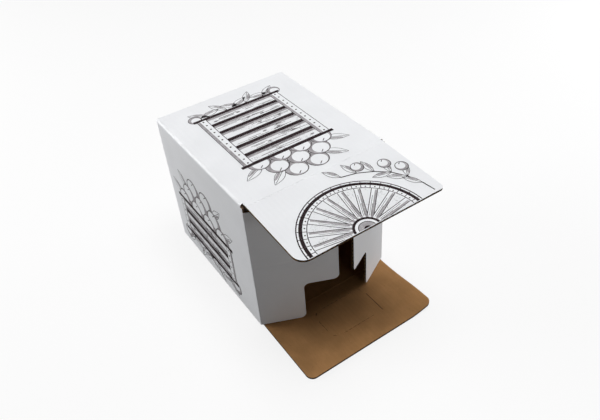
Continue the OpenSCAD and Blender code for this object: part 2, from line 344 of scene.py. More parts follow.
def spread(tree, value, low, high, to_low=0.0, to_high=1.0):
    return node(tree, "MapRange", {0: value, 1: low, 2: high, 3: to_low, 4: to_high}).outputs[0]


def mixed(tree, share, first, second):
    """Mixes two colours. The node's inputs 0, 6 and 7 are the share and the colours."""
    return node(tree, "Mix", {0: share, 6: first, 7: second}, data_type="RGBA").outputs[2]


def noise(tree, place, scale, detail=3.0, stretch=None):
    """Noise whose features are about 1 / scale metres, stretched by a factor for each axis."""
    if stretch:
        place = node(tree, "Mapping", {"Vector": place, "Scale": stretch}).outputs[0]
    return node(tree, "TexNoise", {"Vector": place, "Scale": scale, "Detail": detail}).outputs[0]


def rgba(colour, factor=1.0):
    return (*(min(1.0, c * factor) for c in colour), 1.0)


def flute_lines(tree, place):
    """The faint ridges that the flutes press into a liner, from -1 to 1.

    They follow x on level boards and z on upright ones.
    """
    axes = node(tree, "SeparateXYZ", {0: place}).outputs
    normal = node(tree, "SeparateXYZ", {0: node(tree, "TexCoord").outputs["Normal"]}).outputs
    upright = maths(tree, "LESS_THAN", maths(tree, "ABSOLUTE", normal[2]), 0.6)
    level = maths(tree, "SUBTRACT", 1.0, upright)
    across = maths(tree, "ADD", times(tree, upright, axes[2]), times(tree, level, axes[0]))
    return maths(tree, "SINE", times(tree, across, 2 * math.pi / sizes().flute))


def white_liner():
    """Bleached, coated liner: near-white, faintly clouded, with flute ridges and rubbed folds."""
    tree, shader, place = material("white_liner")
    white = colours().white
    cloud = noise(tree, place, 22, 4)
    grain = noise(tree, place, 900, 3)
    ridges = flute_lines(tree, place)
    tone = mixed(tree, spread(tree, cloud, 0.35, 0.65), rgba(white, 0.975), rgba(white, 1.02))
    tone = mixed(tree, spread(tree, grain, 0.4, 0.6, 0, 0.35), tone, rgba(white, 0.965))
    tone = mixed(tree, spread(tree, ridges, -1, 1, 0, 0.1), tone, rgba(white, 0.93))
    # The upper long folds are rubbed: a grey-brown tone shows through in short scuffs.
    axes = node(tree, "SeparateXYZ", {0: place}).outputs
    side = spread(tree, maths(tree, "ABSOLUTE", axes[0]), 0.1045, 0.1068)
    top = spread(tree, axes[2], 0.2145, 0.2168)
    scuffs = spread(tree, noise(tree, place, 160, 5, (1, 0.35, 1)), 0.55, 0.7)
    rubbed = times(tree, times(tree, side, top), scuffs)
    tone = mixed(tree, times(tree, rubbed, 0.35), tone, (0.5, 0.44, 0.38, 1))
    height = maths(tree, "ADD", times(tree, ridges, 0.5), times(tree, grain, 0.25))
    surface(tree, shader, tone, spread(tree, grain, 0.3, 0.7, 0.42, 0.56), 0.35, (0.35, 0.00012, height))


def kraft_liner():
    """Brown unbleached liner: long fibres, dark and pale flecks, clouding and flute ridges."""
    tree, shader, place = material("kraft_liner")
    kraft = colours().kraft
    cloud = noise(tree, place, 30, 5)
    fibres = noise(tree, place, 420, 5, (1, 0.16, 1))
    flecks = noise(tree, place, 750, 2, (1, 0.5, 1))
    ridges = flute_lines(tree, place)
    tone = mixed(tree, spread(tree, cloud, 0.35, 0.68), rgba(kraft, 0.86), rgba(kraft, 1.1))
    tone = mixed(tree, spread(tree, fibres, 0.35, 0.7, 0, 0.35), tone, rgba(kraft, 0.8))
    tone = mixed(tree, spread(tree, flecks, 0.68, 0.74, 0, 0.55), tone, rgba(kraft, 0.45))
    tone = mixed(tree, spread(tree, flecks, 0.3, 0.24, 0, 0.5), tone, rgba(kraft, 1.45))
    tone = mixed(tree, spread(tree, ridges, -1, 1, 0, 0.06), tone, rgba(kraft, 0.75))
    height = maths(tree, "ADD", times(tree, ridges, 0.15), times(tree, fibres, 0.7))
    surface(tree, shader, tone, spread(tree, cloud, 0.3, 0.7, 0.72, 0.86), 0.12, (0.4, 0.0002, height))


def cut_edge():
    """Fluting and raw cut paper: a dark brown that is partly their own tone and partly painted shade of the
    shadowed cut edges, with torn fibres.
    """
    tree, shader, place = material("cut_edge")
    core = colours().core
    fibres = noise(tree, place, 1100, 4)
    tone = mixed(tree, spread(tree, fibres, 0.35, 0.65), rgba(core, 0.6), rgba(core, 1.4))
    surface(tree, shader, tone, 0.9, bump=(0.6, 0.0002, fibres))


def ink(name, colour, gaps):
    """Flexo ink on the white liner: slightly uneven, with small bare spots where it is thin."""
    tree, shader, place = material(name)
    worn = noise(tree, place, 700, 4)
    streak = noise(tree, place, 130, 4)
    bare = times(tree, spread(tree, worn, 0.58, 0.7), spread(tree, streak, 0.45, 0.65))
    tone = mixed(tree, spread(tree, streak, 0.35, 0.65), rgba(colour, 0.85), rgba(colour, 1.25))
    tone = mixed(tree, times(tree, bare, gaps), tone, rgba(colours().white, 0.9))
    surface(tree, shader, tone, 0.6, 0.08)


def speckled_ink():
    """Paper ground with sparse grey-brown flecks, as printed wood has."""
    tree, shader, place = material("speckled_ink")
    flecks = spread(tree, noise(tree, place, 620, 5), 0.54, 0.66)
    patches = spread(tree, noise(tree, place, 75, 4), 0.46, 0.64)
    tone = mixed(tree, times(tree, flecks, times(tree, patches, 0.8)),
                 rgba(colours().white, 0.96), rgba(colours().tint, 0.55))
    surface(tree, shader, tone, 0.5, 0.3)


def film_material():
    """Milky film with a soft gloss, sharp little creases and clouding."""
    tree, shader, place = material("bag_film")
    film = colours().film
    cloud = noise(tree, place, 60, 4)
    height = times(tree, cloud, 0.1)
    for scale, stretch, share in ((34, (1, 0.5, 1), 0.9), (75, (0.6, 1, 1), 0.5), (160, (1, 1, 1), 0.22)):
        waves = noise(tree, place, scale, 2, stretch)
        ridge = spread(tree, maths(tree, "ABSOLUTE", maths(tree, "SUBTRACT", waves, 0.5)), 0, 0.06, 1, 0)
        height = maths(tree, "ADD", height, times(tree, maths(tree, "POWER", ridge, 2.0), share))
    tone = mixed(tree, spread(tree, cloud, 0.35, 0.65), rgba(film, 0.9), rgba(film, 1.05))
    tone = mixed(tree, spread(tree, height, 0.2, 1.2, 0, 0.25), tone, rgba(film, 1.25))
    surface(tree, shader, tone, spread(tree, cloud, 0.3, 0.7, 0.18, 0.32), bump=(0.35, 0.0012, height))
    feed(tree, shader, {"Coat Weight": 0.35})


def moulded(name, colour, rough=0.32):
    """Injection-moulded plastic with a fine grain and faint flow marks."""
    tree, shader, place = material(name)
    grain = noise(tree, place, 1800, 3)
    flow = noise(tree, place, 90, 3, (1, 1, 3))
    tone = mixed(tree, spread(tree, flow, 0.35, 0.65), rgba(colour, 0.93), rgba(colour, 1.05))
    surface(tree, shader, tone, spread(tree, flow, 0.3, 0.7, rough, rough + 0.1), bump=(0.25, 0.0001, grain))


def finish(obj, *names):
    """Gives an object these materials, in the order of its slots."""
    obj.data.materials.clear()
    for name in names:
        obj.data.materials.append(bpy.data.materials[name])


def board_finish(obj):
    finish(obj, "white_liner", "kraft_liner", "cut_edge")


def paint(obj, chosen):
    """Gives a board its materials, and each face the slot that chosen(middle, normal) says."""
    board_finish(obj)
    for face in obj.data.polygons:
        face.material_index = chosen(face.center, face.normal)


# Boards


def outline(name, corners):
    """A flat sheet from the crease to the free edge. Corners are (x, y, radius) in order round it."""
    xs, ys = [c[0] for c in corners], [c[1] for c in corners]
    obj = sheet(name, (min(xs), min(ys)), (max(xs), max(ys)))
    if len(corners) > 4:
        step_x, step_y = corners[3][0], corners[3][1]
        edit(obj)
        cut_at(0, [step_x])
        cut_at(1, [step_y])
        low_side = corners[1][0] < step_x
        pick("FACE", lambda p, n: (p.x < step_x) == low_side and p.y < step_y)
        bpy.ops.mesh.delete(type="FACE")
        bpy.ops.mesh.select_all(action="SELECT")
        bpy.ops.mesh.dissolve_limited(angle_limit=0.01)
        done()
    edit(obj)
    for x, y, radius in corners:
        if radius:
            pick("VERT", lambda p, n: abs(p.x - x) < NEAR and abs(p.y - y) < NEAR)
            bpy.ops.mesh.bevel(offset=radius, segments=8, affect="VERTICES", clamp_overlap=False)
    done()
    return obj


def thick(obj, top, bottom):
    """Turns a flat sheet at height 0 into a plate between two heights."""
    place(obj, Matrix.Translation((0, 0, top)))
    modifier(obj, "SOLIDIFY", thickness=top - bottom, offset=-1)


def copy_of(obj, name):
    made = obj.copy()
    made.data = obj.data.copy()
    bpy.context.scene.collection.objects.link(made)
    made.name = made.data.name = name
    return made


def fluting(name, low, high, middle, depth):
    """A wavy sheet whose flutes run along Y, built as one flute and repeated across X."""
    pitch = sizes().flute
    obj = sheet(name, (low[0] - pitch, low[1] - 0.01), (low[0], high[1] + 0.01), middle)
    edit(obj)
    cut_at(0, steps(low[0] - pitch, low[0], 10))
    xs = sorted({round(v.co.x, 6) for v in bmesh.from_edit_mesh(obj.data).verts})
    for x in xs:
        pick("VERT", lambda p, n: abs(p.x - x) < NEAR)
        rise = depth / 2 * math.cos(2 * math.pi * (x - low[0]) / pitch)
        bpy.ops.transform.translate(value=(0, 0, rise))
    done()
    count = math.ceil((high[0] - low[0]) / pitch) + 2
    modifier(obj, "ARRAY", count=count, use_relative_offset=False, use_constant_offset=True,
             constant_offset_displace=(pitch, 0, 0), use_merge_vertices=True, merge_threshold=NEAR)
    modifier(obj, "SOLIDIFY", thickness=0.0002, offset=0)
    return obj


def flap_board(name, corners, cutter=None):
    """A flap's corrugated board on the bench: its hinge line is the X axis and its outer face is up."""
    s = sizes()
    top, bottom = -s.lift, -s.lift - s.board
    flat = outline(name, corners)
    outer, inner, prism = (copy_of(flat, layer) for layer in ("outer", "inner", "prism"))
    bpy.data.objects.remove(flat)
    thick(outer, top, top - s.liner)
    thick(inner, bottom + s.liner, bottom)
    thick(prism, top - s.liner / 2, bottom + s.liner / 2)
    xs, ys = [c[0] for c in corners], [c[1] for c in corners]
    slack = 0.00015
    wave = fluting("wave", (min(xs), min(ys)), (max(xs), max(ys)), (top + bottom) / 2,
                   s.board - 2 * s.liner - slack)
    boolean(wave, prism, "INTERSECT")
    paint(outer, lambda p, n: WHITE if n.z > ALONG else EDGE)
    paint(inner, lambda p, n: KRAFT if abs(n.z) > ALONG else EDGE)
    paint(wave, lambda p, n: EDGE)
    if cutter:
        for obj in (outer, inner, wave):
            boolean(obj, copy_of(cutter, "cutter"), "DIFFERENCE")
        bpy.data.objects.remove(cutter)
    board = join([outer, inner, wave], name)
    edit(board)
    cut_at(1, steps(min(ys), max(ys), 8))
    cut_at(0, steps(min(xs), max(xs), 24 if cutter else 8))
    done()
    return board


def crease(name, low, high, back, angle, wall_high=None):
    """The folded band between a wall and a flap, on the bench: full thickness, with the score's dent."""
    s = sizes()
    meet = s.lift * math.tan(angle / 2)
    corner = angle > CORNER_FOLD
    near = [0.0022, 0.0025, 0.0029, 0.0034, 0.004] if corner else [0.0003, 0.0006, 0.0009, 0.0012, 0.002]
    end = high if wall_high is None else wall_high
    obj = sheet(name, (low, -s.flap_start), (end, back), -s.lift)
    board_finish(obj)
    edit(obj)
    cut_at(1, [-y for y in reversed(near)] + [meet] + near)
    cut_at(0, steps(low, end, 8))
    if wall_high is not None:
        cut_at(0, [high])
        pick("FACE", lambda p, n: p.x > high and p.y < meet)
        bpy.ops.mesh.delete(type="FACE")
    if not corner:
        for y, dent in ((0.0006, 0.0001), (meet, 0.0003), (-0.0006, 0.0001),
                        (0.0003, 0.00022), (-0.0003, 0.00022)):
            pick("VERT", lambda p, n: abs(p.y - y) < 2 * NEAR)
            bpy.ops.transform.translate(value=(0, 0, -dent))
    if angle:
        pick("VERT", lambda p, n: p.y < -NEAR)
        bpy.ops.transform.rotate(value=-angle, orient_axis="X", center_override=(0, 0, 0))
    done()
    only(obj)
    modifier(obj, "SOLIDIFY", thickness=s.board, offset=-1, use_even_offset=True,
             material_offset=1, material_offset_rim=2)
    if corner:
        edit(obj)
        pick("EDGE", lambda p, d: abs(p.y - meet) < 2 * NEAR and p.z > -0.001 and abs(d.x) > ALONG)
        bpy.ops.mesh.bevel(offset=0.0006, segments=3)
        done()
    return obj


def bench_to(where, turn, angle):
    """The matrix that takes a flap from the bench to its hinge line, turned by its angle first."""
    return Matrix.Translation(where) @ Matrix.Rotation(turn, 4, "Y") @ Matrix.Rotation(angle, 4, "X")


def flap_places():
    """For each flap: its hinge point, its turn about Y and its fold angle from the wall's plane."""
    s = sizes()
    x = BODY_HI.x + s.lift
    right = math.pi / 2
    return {
        "top": ((0, s.outer_crease, BODY_HI.z + s.lift), 0.0, s.droop),
        "bottom": ((0, s.outer_crease, -s.lift), math.pi, 0.0),
        "left": ((-x, s.side_crease, 0), -right, right - s.left_open),
        "right": ((x, s.side_crease, 0), right, right - s.right_open),
    }


def fit_band(where, low, high, back, wall_high=None):
    """Makes a flap's crease band, places it at the mouth and smooths its shading. The right one is a mirror
    image.
    """
    point, turn, angle = flap_places()[where]
    band = crease(where + "_crease", low, high, back, angle, wall_high)
    if where == "right":
        only(band)
        band.scale = (-1, 1, 1)
        freeze(band)
        edit(band)
        bpy.ops.mesh.select_all(action="SELECT")
        bpy.ops.mesh.flip_normals()
        done()
    at_mouth = bench_to(point, turn, 0.0)
    place(band, at_mouth)
    smooth(band, 30)
    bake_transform(band)


def carve(obj, name, low, high, operation, chosen):
    """Cuts away or adds a box, whose faces take the slots that chosen(middle, normal) says."""
    tool = block(name, low, high)
    paint(tool, chosen)
    boolean(obj, tool, operation)


# Operators


class CARTON_OT_finishes(bpy.types.Operator):
    """Makes the materials of board, print, film and plastic."""

    bl_idname = "carton.finishes"
    bl_label = "Finishes"

    def execute(self, context):
        c = colours()
        white_liner()
        kraft_liner()
        cut_edge()
        ink("dark_ink", c.ink, 0.2)
        ink("grey_ink", c.tint, 0.8)
        speckled_ink()
        film_material()
        moulded("tap_plastic", c.tap)
        moulded("lever_plastic", c.lever)
        moulded("seal_rubber", (0.05, 0.05, 0.052), 0.6)
        return {"FINISHED"}


class CARTON_OT_shell(bpy.types.Operator):
    """Builds the folded sleeve with its closed far end and its glued lap."""

    bl_idname = "carton.shell"
    bl_label = "Sleeve and closed end"

    def execute(self, context):
        s = sizes()
        x, z, back = BODY_HI.x, BODY_HI.z, BODY_HI.y
        seam, wide, gap = 0.0003, 0.12, 0.006
        lap_front, lap_back, lap_high = -0.1158, 0.116, 0.03
        shell = block("carton_shell", (-x, s.mouth, 0), (x, back - s.board, z))
        board_finish(shell)
        edit(shell)
        pick("FACE", lambda p, n: n.y < -ALONG)
        bpy.ops.mesh.delete(type="FACE")
        pick("EDGE", lambda p, d: abs(d.y) > ALONG)
        bpy.ops.mesh.bevel(offset=s.fold, segments=6)
        pick("EDGE", lambda p, d: abs(d.z) > ALONG and abs(p.x) > x - 10 * NEAR and p.y > back - 0.01)
        bpy.ops.mesh.bevel(offset=s.fold, segments=6)
        cut_at(1, steps(s.mouth, back - s.board, 8))
        cut_at(2, steps(0, z, 8))
        cut_at(0, [-0.103, 0.103])
        done()
        modifier(shell, "SOLIDIFY", thickness=s.board, offset=-1, use_even_offset=True,
                 material_offset=1, material_offset_rim=2)
        carve(shell, "gap", (-gap, back - 2 * s.board - 0.001, s.board),
              (gap, back - s.board + 0.001, z - s.board), "DIFFERENCE", lambda p, n: EDGE)
        cover = block("cover", (-s.outer_half, back - s.board - s.fold, 0), (s.outer_half, back, z))
        edit(cover)
        pick("EDGE", lambda p, d: abs(d.x) > ALONG and p.y > back - 10 * NEAR)
        bpy.ops.mesh.bevel(offset=s.fold, segments=6)
        done()
        paint(cover, lambda p, n: EDGE if abs(n.x) > ALONG else WHITE)
        carve(cover, "hollow", (-wide, back - 0.02, s.board), (wide, back - s.board, z - s.board),
              "DIFFERENCE", lambda p, n: KRAFT)
        carve(cover, "seam", (-wide, back - 0.6 * s.board, z / 2 - seam), (wide, back + 0.01, z / 2 + seam),
              "DIFFERENCE", lambda p, n: EDGE)
        boolean(shell, cover, "UNION")
        carve(shell, "lap", (x - 2 * s.board, lap_front, z - s.board - lap_high),
              (x - s.board + 0.0001, lap_back, z - s.board), "UNION",
              lambda p, n: WHITE if n.x > ALONG else KRAFT if n.x < -ALONG else EDGE)
        smooth(shell)
        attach(shell, "carton")
        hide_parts("carton_body")
        return {"FINISHED"}


class CARTON_OT_outer_flaps(bpy.types.Operator):
    """Builds the top flap, the bottom flap with its tap push-out, and their creases."""

    bl_idname = "carton.outer_flaps"
    bl_label = "Top and bottom flaps"

    def execute(self, context):
        s = sizes()
        w, near, far = s.outer_half, -s.flap_start, -s.outer_length
        for where, left, right in (("top", 0.015, 0.006), ("bottom", 0.01, 0.01)):
            corners = [(-w, near, 0), (-w, far, left), (w, far, right), (w, near, 0)]
            cutter = push_out_cuts() if where == "bottom" else None
            board = flap_board(where + "_board", corners, cutter)
            place(board, bench_to(*flap_places()[where]))
            if where == "bottom":
                push(board, "Z", CURL, corner_curl)
            smooth(board, 30)
            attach(board, where + "_flap")
            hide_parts(where + "_flap")
            fit_band(where, -w, w, s.mouth - s.outer_crease)
        return {"FINISHED"}


def push_out_cuts():
    """The push-out's perforation and its slit, on the bench, with x to the flap's left.

    The perforation cuts the kraft liner only, and the slit goes through the board.
    """
    x0, x1, y0, y1, r = -0.043, 0.040, -0.0758, -0.0238, 0.012
    cut, tie = 0.005, 0.0025
    cuts = []

    def add(ax, ay, bx, by, reach=-0.0022, half=0.0002):
        length = math.hypot(bx - ax, by - ay)
        piece = block("cut", (-length / 2, -half, -0.01), (length / 2, half, reach))
        cuts.append(place(piece, Matrix.Translation(((ax + bx) / 2, (ay + by) / 2, 0))
                          @ Matrix.Rotation(math.atan2(by - ay, bx - ax), 4, "Z")))

    def run(a, b, at, along_x):
        count = int((b - a) // (cut + tie))
        start = (a + b - count * (cut + tie) + tie) / 2
        for i in range(count):
            p = start + i * (cut + tie)
            if along_x:
                add(p, at, p + cut, at)
            else:
                add(at, p, at, p + cut)

    run(x0 + r, x1 - r, y0, True)
    run(x0 + r, x1 - r, y1, True)
    run(y0 + r, y1 - r, x1, False)
    add(x0, y0, x0, y0 + 0.037, reach=0.01, half=0.0005)
    for cx, cy, middle in ((x0 + r, y1 - r, 135), (x1 - r, y1 - r, 45), (x1 - r, y0 + r, -45)):
        for start in (middle - 12, middle):
            a, b = math.radians(start), math.radians(start + 12)
            add(cx + r * math.cos(a), cy + r * math.sin(a), cx + r * math.cos(b), cy + r * math.sin(b))
    made = join(cuts, "push_out_cuts")
    paint(made, lambda p, n: EDGE)
    return made


class CARTON_OT_side_flaps(bpy.types.Operator):
    """Builds the two side flaps with their tap window, and their creases."""

    bl_idname = "carton.side_flaps"
    bl_label = "Side flaps"

    def execute(self, context):
        s = sizes()
        near = -s.flap_start
        for where, sign, long, short, r in (
            ("left", 1, s.left_long - s.lift, s.left_short - s.lift, 0.008),
            ("right", -1, s.right_long - s.lift, s.right_short - s.lift, 0.005),
        ):
            low, top, step = sign * s.side_low, sign * s.side_top, sign * s.window
            corners = [(top, near, 0), (low, near, 0), (low, -short, r), (step, -short, r),
                       (step, -long, r), (top, -long, r)]
            board = flap_board(where + "_board", corners)
            if where == "left":
                bruise(board, 0.113, 0.062)
            place(board, bench_to(*flap_places()[where]))
            smooth(board, 30)
            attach(board, where + "_side_flap")
            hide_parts(where + "_side_flap")
            fit_band(where, s.side_low, s.side_top, s.mouth - s.side_crease, BODY_HI.z - s.side_low)
        return {"FINISHED"}


def bruise(board, at, reach):
    """Presses a faint line across a flap's outer liner, from the crease as far as it reaches."""
    half, depth, below_liner = 0.0012, 0.0003, -0.0007
    edit(board)
    cut_at(0, [at - half, at, at + half])
    pick("VERT", lambda p, n: abs(p.x - at) < NEAR and p.y > -reach and p.z > below_liner)
    bpy.ops.transform.translate(value=(0, 0, -depth))
    done()


# Print


def begin_print(name):
    """Adds an empty mesh with the print's materials and enters edit mode."""
    select_none()
    bpy.ops.object.add(type="MESH")
    obj = named(name)
    finish(obj, "dark_ink", "grey_ink", "white_liner", "speckled_ink")
    bpy.ops.object.mode_set(mode="EDIT")
    bpy.ops.mesh.select_mode(type="FACE")
    return obj


def fill_with(slot):
    bpy.context.object.active_material_index = slot
    bpy.ops.object.material_slot_assign()


def shape(layer, at, size, turn=0.0, sides=24, line=0.0008, fill=PAPER, tip=0.0):
    """In edit mode, adds a flat shape: an ellipse, a leaf if it has a tip, a rectangle if it has 4 sides."""
    centre = (at[0], at[1], layer * LAYER)
    if sides == 4:
        bpy.ops.mesh.primitive_plane_add(size=1, location=centre)
    else:
        bpy.ops.mesh.primitive_circle_add(vertices=sides, radius=0.5, fill_type="NGON", location=centre)
    bpy.ops.transform.resize(value=(size[0], size[1], 1), center_override=centre)
    if tip:
        bm = bmesh.from_edit_mesh(bpy.context.object.data)
        for v in bm.verts:
            if v.select:
                reach = (v.co.x - centre[0]) / (size[0] / 2)
                v.co.x += tip * reach ** 5
                v.co.y += (centre[1] - v.co.y) * 0.5 * abs(reach) ** 3
        bmesh.update_edit_mesh(bpy.context.object.data)
    if turn:
        bpy.ops.transform.rotate(value=-turn, orient_axis="Z", center_override=centre)
    if line:
        fill_with(INK)
        bpy.ops.mesh.inset(thickness=line)
    fill_with(fill)


def stroke(layer, a, b, width, fill=INK):
    """In edit mode, adds a straight printed line."""
    length = math.hypot(b[0] - a[0], b[1] - a[1])
    shape(layer, ((a[0] + b[0]) / 2, (a[1] + b[1]) / 2), (length, width),
          math.atan2(b[1] - a[1], b[0] - a[0]), 4, 0, fill)


def ring(layer, at, radius, width, fill=INK):
    """In edit mode, adds a printed ring whose outer edge has the radius."""
    centre = (at[0], at[1], layer * LAYER)
    bpy.ops.mesh.primitive_circle_add(vertices=80, radius=radius, fill_type="NGON", location=centre)
    fill_with(fill)
    bpy.ops.mesh.inset(thickness=width)
    bpy.ops.mesh.delete(type="FACE")


def plum(layer, at, radius, light):
    """A round fruit: outline, grey shade, a pale side and a dent for its stalk."""
    shape(layer, at, (2 * radius, 2 * radius), fill=TINT, line=LINE)
    shift = radius * 0.2
    shape(layer + 1, (at[0] + shift * math.cos(light), at[1] + shift * math.sin(light)),
          (1.42 * radius, 1.42 * radius), fill=PAPER, line=0)
    stroke(layer + 1.4, (at[0] - 0.1 * radius, at[1] + 0.5 * radius),
           (at[0] + 0.2 * radius, at[1] + 0.75 * radius), 0.0011)


def leaf(layer, at, length, turn, fill=PAPER):
    """A pointed leaf with its middle rib and a shaded half."""
    shape(layer, at, (length, length * 0.44), turn, 18, THIN, fill, tip=length * 0.12)
    along = Vector((math.cos(turn), math.sin(turn)))
    side = Vector((-along.y, along.x)) * length * 0.1
    middle = Vector(at[:2])
    shape(layer + 0.5, middle - side, (length * 0.66, length * 0.13), turn, 12, 0, TINT)
    stroke(layer + 1, middle - along * length * 0.62, middle + along * length * 0.5, THIN)


def slat(chance, half, grain_half, y, tall, wood):
    """A crate's slat at a height: its board, the shade at its foot, its grain and its knots."""
    shape(7, (0, y), (2 * half, tall), sides=4, fill=wood)
    if wood == TINT:
        shape(7.2, (0, y + tall * 0.16), (1.72 * half, tall * 0.46), sides=4, line=0, fill=SPECKLE)
    shape(7.4, (0, y - tall * 0.33), (2 * half - 0.004, tall * 0.24), sides=4, line=0, fill=TINT)
    for _ in range(12):
        x = chance.uniform(-grain_half, grain_half - 0.03)
        h = y + chance.uniform(-0.36, 0.4) * tall
        end = (x + chance.uniform(0.008, 0.03), h + chance.uniform(-0.0006, 0.0006))
        stroke(7.8, (x, h), end, THIN)
    for _ in range(2):
        x = chance.uniform(-half * 0.7, half * 0.7)
        at = (x, y + chance.uniform(-0.15, 0.25) * tall)
        shape(7.8, at, (0.006, 0.0028), sides=14, line=0.0006, fill=TINT)


def crate_print(name, half, slats, low, seed, wood=SPECKLE):
    """A slatted crate heaped with round fruit, with sprigs below it, drawn upright on the bench."""
    chance = random.Random(seed)
    obj = begin_print(name)
    tall, gap, post, bolt = 0.0172, 0.0052, 0.0142, 0.0028
    fruit_width, margin, first_row, row_rise = 0.032, 0.006, 0.0045, 0.0195
    top = low + slats * (tall + gap)
    feet = [low + gap + i * (tall + gap) for i in range(slats)]
    count = int(2 * half / fruit_width)
    pitch = (2 * half - margin) / count
    r = pitch / 2
    for row, level in ((2, 1), (1, 3), (0, 5)):
        number = count - row
        for i in range(number):
            x = (i - (number - 1) / 2) * pitch
            if row < 2 or abs(x) < pitch * 0.8:
                light = math.radians(chance.uniform(100, 150))
                plum(level, (x, top + first_row + row * row_rise), r, light)
    for x, y, turn in ((-0.95, 0.019, 150), (0.93, 0.02, 28), (0.62, 0.045, 40), (-0.64, 0.044, 140)):
        leaf(2.4, (half * x, top + y), 0.03, math.radians(turn))
    for foot in feet:
        slat(chance, half, half - post, foot + tall / 2, tall, wood)
    for sign in (-1, 1):
        x = sign * (half - post / 2)
        middle, length = (low + gap + top) / 2, top - low + 0.003
        shape(8.2, (x, middle), (post, length), sides=4, line=LINE, fill=PAPER)
        shape(8.6, (x + 0.0042, middle), (0.0036, length - 0.003), sides=4, line=0, fill=TINT)
        for foot in feet:
            for share in (0.2, 0.8):
                shape(9, (x - 0.0012, foot + share * tall), (bolt, bolt), sides=10, line=0, fill=INK)
    for i in range(slats + 1):
        wide = 2 * half + 0.008 if i in (0, slats) else 2 * (half - post)
        shape(9.2, (0, low + gap / 2 + i * (tall + gap)), (wide, gap), sides=4, line=0, fill=INK)
    for sign in (-1, 1):
        for x, y, turn in ((0.12, -0.008, -24), (0.36, -0.013, -58), (0.6, -0.007, 10), (0.85, -0.01, -38)):
            leaf(2.4, (sign * x * half, low + y), 0.026, math.radians(turn if sign > 0 else 180 - turn))
        plum(4, (sign * half * 0.98, low - 0.004), r * 0.62, math.radians(120))
    done()
    return obj


def toward(degrees):
    """The direction at an angle from +X."""
    return Vector((math.cos(math.radians(degrees)), math.sin(math.radians(degrees))))


def wheel_print(name, side):
    """Half a cart wheel at the flap's free edge, with a sprig beside it, on the flap's bench."""
    s = sizes()
    obj = begin_print(name)
    spokes, bolts = 10, 20
    hub = Vector((-0.012, -s.outer_length - 0.0006))
    shape(1, hub, (0.152, 0.152), sides=80, line=0, fill=SPECKLE)
    for k in range(spokes):
        turn = 180 / spokes * (k + 0.5)
        out, a = toward(turn), math.radians(turn)
        across = Vector((-out.y, out.x))
        middle = hub + out * 0.0405
        shape(2, middle, (0.057, 0.0082), a, 4, LINE, PAPER)
        shape(2.5, middle - across * 0.0019, (0.05, 0.0024), a, 4, 0, TINT)
        for grain in (-0.0004, 0.0012):
            start = middle - out * 0.02 + across * grain
            stroke(2.8, start, middle + out * (0.004 + 9 * grain) + across * grain, 0.0005)
    ring(3, hub, 0.0795, 0.0125, PAPER)
    for k in range(bolts):
        joint, bolt = toward(180 / bolts * (k + 0.5)), toward(180 / bolts * (k + 1))
        stroke(3.2, hub + joint * 0.068, hub + joint * 0.079, LINE)
        shape(3.2, hub + bolt * 0.0703, (0.002, 0.002), sides=10, line=0, fill=INK)
    for radius, width in ((0.0805, 0.0014), (0.0772, 0.0044), (0.0682, 0.001)):
        ring(3.5, hub, radius, width)
    for layer, wide, sides, line, fill in ((4, 0.036, 40, 0.0032, PAPER), (5, 0.023, 32, LINE, TINT),
                                           (6, 0.009, 20, 0, INK)):
        shape(layer, hub, (wide, wide), sides=sides, line=line, fill=fill)
    stem = [Vector(p) for p in ((0.0905, -0.106), (0.088, -0.088), (0.0815, -0.069), (0.0705, -0.052),
                                (0.055, -0.0385), (0.036, -0.0285), (0.016, -0.0235))]
    for a, b in zip(stem, stem[1:]):
        stroke(2, a, b, 0.0015)
    for point, turn in zip(stem[1:], (78, 102, 122, 138, 150, 166)):
        for lean in (-44, 44):
            at = point + toward(turn + lean) * 0.0125
            if (at - hub).length > 0.091 and at.y < -0.012 and at.x < 0.09:
                leaf(3, at, 0.021, math.radians(turn + lean))
    for at in ((0.0885, -0.05), (0.0745, -0.0335), (0.0435, -0.0195)):
        plum(5, at, 0.0088, math.radians(120))
    bpy.ops.mesh.select_all(action="SELECT")
    bpy.ops.mesh.bisect(plane_co=(0, -s.outer_length + 0.0008, 0), plane_no=(0, -1, 0), clear_outer=True)
    if side < 0:
        bpy.ops.mesh.select_all(action="SELECT")
        bpy.ops.transform.resize(value=(-1, 1, 1), center_override=(0, 0, 0))
        bpy.ops.mesh.flip_normals()
    done()
    return obj


class CARTON_OT_print(bpy.types.Operator):
    """Prints the crates on three walls and the wheel on the outer flaps."""

    bl_idname = "carton.print"
    bl_label = "Print"

    def execute(self, context):
        x, z, off = BODY_HI.x, BODY_HI.z, PRINT_LIFT
        top = Matrix.Translation((0, -0.012, z + off)) @ Matrix.Rotation(math.pi, 4, "Z")
        walls = [(crate_print("top_print", 0.066, 6, -0.09, 3), top)]
        for where, out in (("left", -1), ("right", 1)):
            matrix = Matrix(((0, 0, out, out * (x + off)), (out, 0, 0, 0.014),
                             (0, 1, 0, 0.084), (0, 0, 0, 1)))
            walls.append((crate_print(where + "_print", 0.078, 3, -0.052, 5, TINT), matrix))
        for obj, matrix in walls:
            place(obj, matrix)
            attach(obj, "carton")
        for where, side in (("top", 1), ("bottom", -1)):
            obj = wheel_print(where + "_flap_print", side)
            matrix = bench_to(*flap_places()[where])
            place(obj, matrix @ Matrix.Translation((0, 0, -sizes().lift + off)))
            if where == "bottom":
                edit(obj)
                cut_at(0, steps(0.055, 0.103, 10))
                done()
                push(obj, "Z", CURL, corner_curl)
            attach(obj, where + "_flap")
        return {"FINISHED"}


